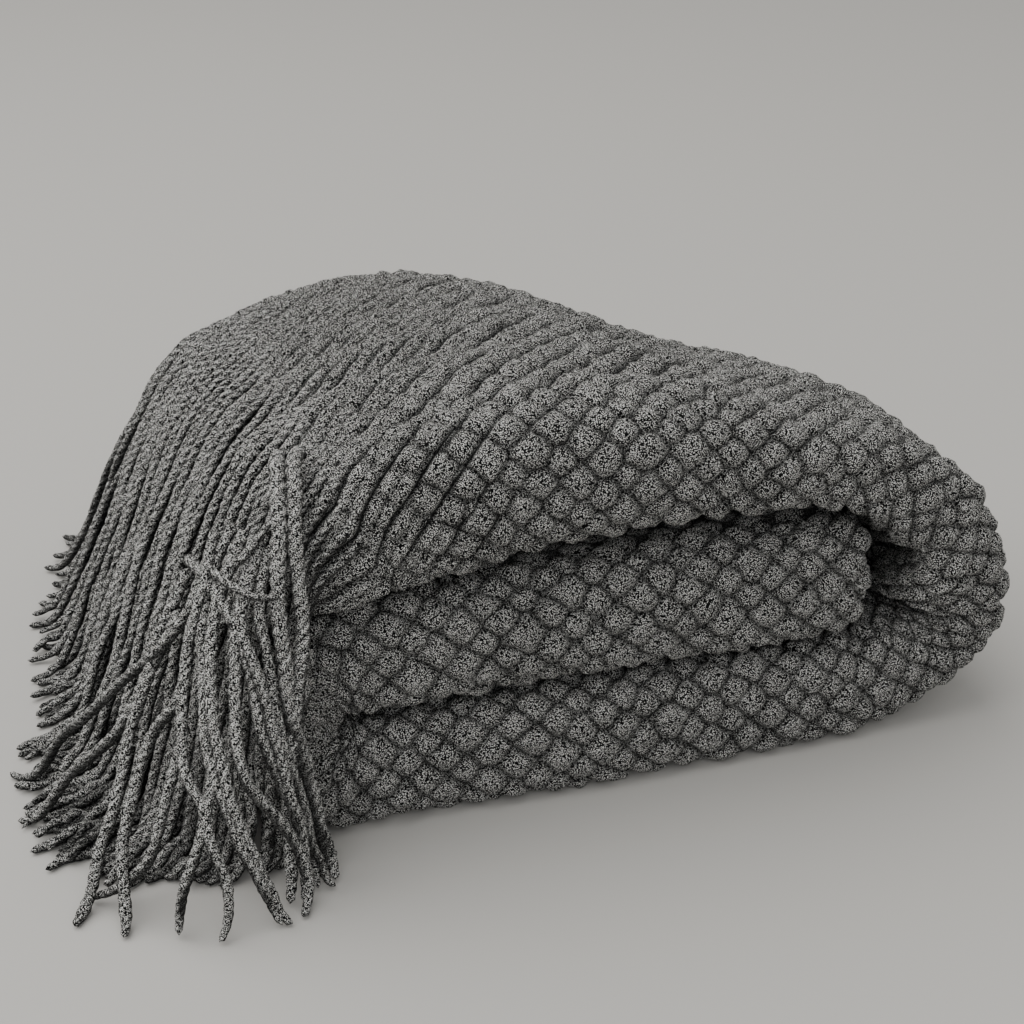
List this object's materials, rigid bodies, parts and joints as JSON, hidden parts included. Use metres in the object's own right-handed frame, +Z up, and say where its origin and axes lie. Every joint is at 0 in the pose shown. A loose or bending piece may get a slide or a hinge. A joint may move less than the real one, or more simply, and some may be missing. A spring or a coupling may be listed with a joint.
{
  "type": "knit throw blanket with a fringe",
  "caption": "Chunky bobble-knit throw folded flat across its width and rolled in three along its length, with a long yarn fringe falling at one end.",
  "frame": {"origin": "on the floor under the middle of the whole folded throw with its fringe", "axes": "+X along the folded front from the fringed end to the round folded end, +Y from the front fold to the back, +Z up"},
  "size_m": [0.4376, 0.3964, 0.1812],
  "materials": {
    "yarn_knit": "soft chunky yarn in raised bobbles, heathered charcoal grey",
    "yarn_fringe": "soft twisted yarn, heathered charcoal grey"
  },
  "bodies": {
    "root": {"throw_cloth": "yarn_knit", "fringe_top_layer": "yarn_fringe", "fringe_second_layer": "yarn_fringe", "fringe_third_layer": "yarn_fringe", "fringe_bottom_layer": "yarn_fringe"}
  },
  "joints": []
}
